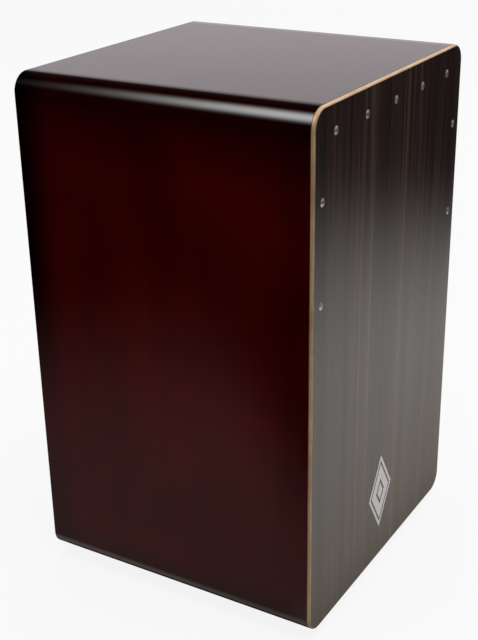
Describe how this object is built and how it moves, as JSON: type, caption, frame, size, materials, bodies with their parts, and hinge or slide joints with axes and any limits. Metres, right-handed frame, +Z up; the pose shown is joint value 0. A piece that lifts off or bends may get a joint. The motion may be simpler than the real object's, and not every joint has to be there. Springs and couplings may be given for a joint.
{
  "type": "box drum",
  "caption": "Wooden box drum with a rounded lacquered body, a thin playing plate in front, a sound hole behind and a turnable snare inside.",
  "frame": {"origin": "on the floor, under the centre of the box", "axes": "+Z up, -Y out of the playing plate, +X to the right as seen from the front"},
  "size_m": [0.3, 0.29, 0.49],
  "materials": {
    "lacquer": "high-gloss dark red-brown lacquer over veneer",
    "plate_veneer": "satin-gloss lacquer over dark streaked veneer, pale bare ply at the edge",
    "back_veneer": "satin dark red-brown stain",
    "bare_wood": "planed, unfinished",
    "dowel_wood": "sanded, unfinished",
    "screw_steel": "bright plated",
    "lock_steel": "plated, lobed knob",
    "spring_steel": "bright drawn wire",
    "foot_rubber": "matt moulded"
  },
  "bodies": {
    "box": {"left_side_panel": "lacquer", "right_side_panel": "lacquer", "top_panel": "lacquer", "bottom_panel": "lacquer", "corner_rail_top_left": "lacquer", "corner_rail_bottom_left": "lacquer", "corner_rail_top_right": "lacquer", "corner_rail_bottom_right": "lacquer", "front_batten_top": "bare_wood", "front_batten_bottom": "bare_wood", "front_batten_left": "bare_wood", "front_batten_right": "bare_wood", "back_batten_top": "bare_wood", "back_batten_bottom": "bare_wood", "back_batten_left": "bare_wood", "back_batten_right": "bare_wood", "front_plate": "plate_veneer", "back_panel": "back_veneer", "back_panel_screw_1": "screw_steel", "back_panel_screw_2": "screw_steel", "back_panel_screw_3": "screw_steel", "back_panel_screw_4": "screw_steel", "back_panel_screw_5": "screw_steel", "back_panel_screw_6": "screw_steel", "back_panel_screw_7": "screw_steel", "back_panel_screw_8": "screw_steel", "rubber_foot_1": "foot_rubber", "rubber_foot_2": "foot_rubber", "rubber_foot_3": "foot_rubber", "rubber_foot_4": "foot_rubber", "foot_screw_1": "screw_steel", "foot_screw_2": "screw_steel", "foot_screw_3": "screw_steel", "foot_screw_4": "screw_steel", "snare_block_left": "bare_wood", "snare_block_right": "bare_wood"},
    "snare": {"snare_bar": "dowel_wood", "snare_wires_left": "spring_steel", "snare_wires_right": "spring_steel", "snare_wire_screw_1": "screw_steel", "snare_wire_screw_2": "screw_steel", "snare_wire_screw_3": "screw_steel", "snare_wire_screw_4": "screw_steel"},
    "lock_screw_left": {"snare_lock_screw_left": "lock_steel"},
    "lock_screw_right": {"snare_lock_screw_right": "lock_steel"},
    "plate_screw_1": {"front_plate_screw_1": "screw_steel"},
    "plate_screw_2": {"front_plate_screw_2": "screw_steel"},
    "plate_screw_3": {"front_plate_screw_3": "screw_steel"},
    "plate_screw_4": {"front_plate_screw_4": "screw_steel"},
    "plate_screw_5": {"front_plate_screw_5": "screw_steel"},
    "plate_screw_6": {"front_plate_screw_6": "screw_steel"},
    "plate_screw_7": {"front_plate_screw_7": "screw_steel"},
    "plate_screw_8": {"front_plate_screw_8": "screw_steel"},
    "plate_screw_9": {"front_plate_screw_9": "screw_steel"}
  },
  "joints": [
    {"name": "snare_tilt", "type": "hinge", "parent": "box", "child": "snare", "pos_m": [0, -0.125, 0.346], "axis": [-1, 0, 0], "range_deg": [0, 30]},
    {"name": "lock_screw_left_turn", "type": "hinge", "parent": "box", "child": "lock_screw_left", "pos_m": [-0.11, -0.104, 0.346], "axis": [0, 1, 0], "range_deg": [0, 360]},
    {"name": "lock_screw_right_turn", "type": "hinge", "parent": "box", "child": "lock_screw_right", "pos_m": [0.11, -0.104, 0.346], "axis": [0, 1, 0], "range_deg": [0, 360]},
    {"name": "plate_screw_1_turn", "type": "hinge", "parent": "box", "child": "plate_screw_1", "pos_m": [-0.114, -0.145, 0.467], "axis": [0, -1, 0], "range_deg": [0, 540]},
    {"name": "plate_screw_2_turn", "type": "hinge", "parent": "box", "child": "plate_screw_2", "pos_m": [-0.057, -0.145, 0.467], "axis": [0, -1, 0], "range_deg": [0, 540]},
    {"name": "plate_screw_3_turn", "type": "hinge", "parent": "box", "child": "plate_screw_3", "pos_m": [0, -0.145, 0.467], "axis": [0, -1, 0], "range_deg": [0, 540]},
    {"name": "plate_screw_4_turn", "type": "hinge", "parent": "box", "child": "plate_screw_4", "pos_m": [0.057, -0.145, 0.467], "axis": [0, -1, 0], "range_deg": [0, 540]},
    {"name": "plate_screw_5_turn", "type": "hinge", "parent": "box", "child": "plate_screw_5", "pos_m": [0.114, -0.145, 0.467], "axis": [0, -1, 0], "range_deg": [0, 540]},
    {"name": "plate_screw_6_turn", "type": "hinge", "parent": "box", "child": "plate_screw_6", "pos_m": [-0.136, -0.145, 0.415], "axis": [0, -1, 0], "range_deg": [0, 540]},
    {"name": "plate_screw_7_turn", "type": "hinge", "parent": "box", "child": "plate_screw_7", "pos_m": [0.136, -0.145, 0.415], "axis": [0, -1, 0], "range_deg": [0, 540]},
    {"name": "plate_screw_8_turn", "type": "hinge", "parent": "box", "child": "plate_screw_8", "pos_m": [-0.136, -0.145, 0.328], "axis": [0, -1, 0], "range_deg": [0, 540]},
    {"name": "plate_screw_9_turn", "type": "hinge", "parent": "box", "child": "plate_screw_9", "pos_m": [0.136, -0.145, 0.328], "axis": [0, -1, 0], "range_deg": [0, 540]}
  ]
}
